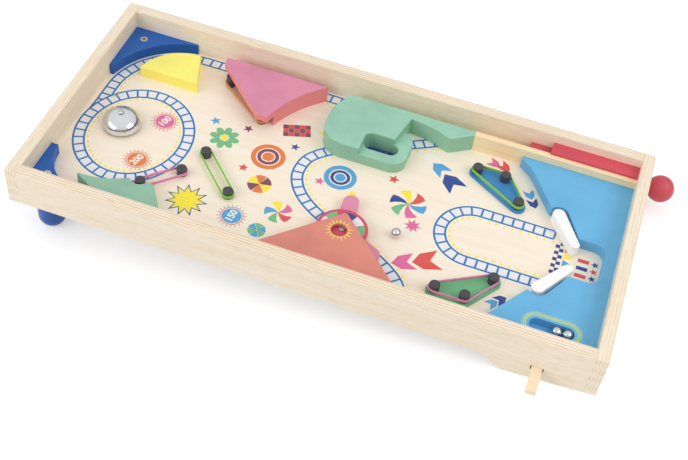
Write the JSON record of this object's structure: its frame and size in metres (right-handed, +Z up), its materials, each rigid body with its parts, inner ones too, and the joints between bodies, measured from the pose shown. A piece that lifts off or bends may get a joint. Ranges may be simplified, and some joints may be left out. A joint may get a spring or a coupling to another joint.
{
  "type": "bagatelle board game",
  "caption": "Tilted tabletop bagatelle in a finger-jointed plywood tray, with a spring plunger, two push-lever flippers, a spinner, a bell, bumpers and coloured blocks.",
  "frame": {"origin": "centre of the outer box at table level, between the feet and the deep low end", "axes": "+X down the slope towards the plunger and the flippers, +Y from the front side to the rear side with the shooting lane, +Z up"},
  "size_m": [0.6592, 0.357, 0.0997],
  "materials": {
    "birch_ply": "fine sanded birch plywood, satin lacquer, striped ply edges",
    "printed_board": "birch board with a printed pattern in many colours, satin",
    "pine": "plain softwood strip, satin lacquer",
    "painted_dark_blue": "wood under satin dark blue lacquer",
    "painted_light_blue": "wood under satin light blue lacquer",
    "painted_yellow": "wood under satin pale yellow lacquer",
    "painted_sage": "wood under satin sage green lacquer",
    "painted_pink": "wood under satin pink lacquer",
    "painted_salmon": "wood under satin salmon lacquer",
    "painted_red": "wood under satin red lacquer",
    "plate_green": "thin plywood under satin green lacquer",
    "plate_blue": "thin plywood under satin blue lacquer",
    "black_plastic": "matt dark moulded plastic",
    "white_plastic": "white moulded plastic, half gloss",
    "lime_rubber": "bright green elastic band",
    "pink_rubber": "bright pink elastic band",
    "orange_rubber": "orange elastic band",
    "pale_rubber": "plain rubber band",
    "blue_foot": "turned wooden foot under satin blue lacquer",
    "white_card": "printed disc with coloured sectors, satin",
    "beech": "plain beech, fine sanded",
    "steel": "bright zinc plated steel",
    "polished_steel": "polished steel ball",
    "bell_metal": "nickel plated bell"
  },
  "bodies": {
    "cabinet": {"apron_board": "painted_light_blue", "bell_dome": "bell_metal", "bell_post": "black_plastic", "bell_screw": "steel", "bumper_posts": "black_plastic", "corner_block_front": "painted_dark_blue", "corner_block_rear": "painted_dark_blue", "foot_front": "blue_foot", "foot_rear": "blue_foot", "foot_screws": "steel", "front_bumper_elastic": "pink_rubber", "front_bumper_plate": "plate_green", "front_side_panel": "birch_ply", "green_crescent": "painted_sage", "green_hook_base": "painted_sage", "green_hook_cap": "painted_sage", "guide_pegs": "steel", "lane_divider": "pine", "left_bumper_elastic": "pink_rubber", "left_end_panel": "birch_ply", "lever_guide_front": "beech", "lever_guide_rear": "beech", "middle_bumper_elastic": "lime_rubber", "pink_block_base": "painted_pink", "pink_block_cap": "painted_pink", "pink_block_elastic": "orange_rubber", "pink_block_posts": "black_plastic", "playfield_board": "printed_board", "plunger_cover": "painted_red", "plunger_spring": "steel", "rear_bumper_elastic": "lime_rubber", "rear_bumper_plate": "plate_blue", "rear_side_panel": "birch_ply", "return_elastic_front": "pale_rubber", "return_elastic_rear": "pale_rubber", "right_end_panel": "birch_ply", "spinner_axle": "steel", "spinner_cover": "painted_salmon", "spinner_cover_supports": "painted_salmon", "spinner_spacer": "black_plastic", "yellow_deflector": "painted_yellow"},
    "plunger": {"plunger_rod": "steel", "plunger_head": "painted_red", "plunger_knob": "painted_red"},
    "front_flipper": {"flipper_front": "white_plastic", "flipper_shaft_front": "steel", "flipper_crank_front": "black_plastic"},
    "rear_flipper": {"flipper_rear": "white_plastic", "flipper_shaft_rear": "steel", "flipper_crank_rear": "black_plastic"},
    "front_lever": {"push_lever_front": "beech", "lever_peg_front": "steel"},
    "rear_lever": {"push_lever_rear": "beech", "lever_peg_rear": "steel"},
    "spinner": {"spinner_wheel": "painted_pink", "spinner_disc": "white_card"},
    "field_ball": {"ball_in_play": "polished_steel"},
    "low_ball": {"tray_ball_low": "polished_steel"},
    "high_ball": {"tray_ball_high": "polished_steel"}
  },
  "joints": [
    {"name": "plunger_pull", "type": "slide", "parent": "cabinet", "child": "plunger", "axis": [0.9974, 0, -0.0715], "range_m": [0, 0.04], "stiffness_N_per_m": 120, "springref_m": -0.012, "deforming": ["plunger_spring"]},
    {"name": "front_lever_push", "type": "slide", "parent": "cabinet", "child": "front_lever", "axis": [0, 1, 0], "range_m": [0, 0.01902], "stiffness_N_per_m": 80, "springref_m": -0.012, "deforming": ["return_elastic_front"]},
    {"name": "rear_lever_push", "type": "slide", "parent": "cabinet", "child": "rear_lever", "axis": [0, -1, 0], "range_m": [0, 0.01902], "stiffness_N_per_m": 80, "springref_m": -0.012, "deforming": ["return_elastic_rear"]},
    {"name": "front_flipper_swing", "type": "hinge", "parent": "cabinet", "child": "front_flipper", "pos_m": [0.21663, -0.065, 0.02479], "axis": [0.0715, 0, 0.9974], "range_deg": [0, 50.01]},
    {"name": "rear_flipper_swing", "type": "hinge", "parent": "cabinet", "child": "rear_flipper", "pos_m": [0.21663, 0.042, 0.02479], "axis": [0.0715, 0, 0.9974], "range_deg": [-50.01, 0]},
    {"name": "spinner_turn", "type": "hinge", "parent": "cabinet", "child": "spinner", "pos_m": [0.00837, -0.0667, 0.03972], "axis": [0.0715, 0, 0.9974], "continuous": true},
    {"name": "field_ball_roll", "type": "slide", "parent": "cabinet", "child": "field_ball", "axis": [-0.2992, 0.9539, 0.0214], "range_m": [0, 0.07]},
    {"name": "low_ball_lift", "type": "slide", "parent": "cabinet", "child": "low_ball", "axis": [0.0715, 0, 0.9974], "range_m": [0, 0.03]},
    {"name": "high_ball_lift", "type": "slide", "parent": "cabinet", "child": "high_ball", "axis": [0.0715, 0, 0.9974], "range_m": [0, 0.03]}
  ],
  "couplings": [
    {"joint": "front_flipper_swing", "follows": "front_lever_push", "rad_per_m": 45.887},
    {"joint": "rear_flipper_swing", "follows": "rear_lever_push", "rad_per_m": -45.887}
  ]
}
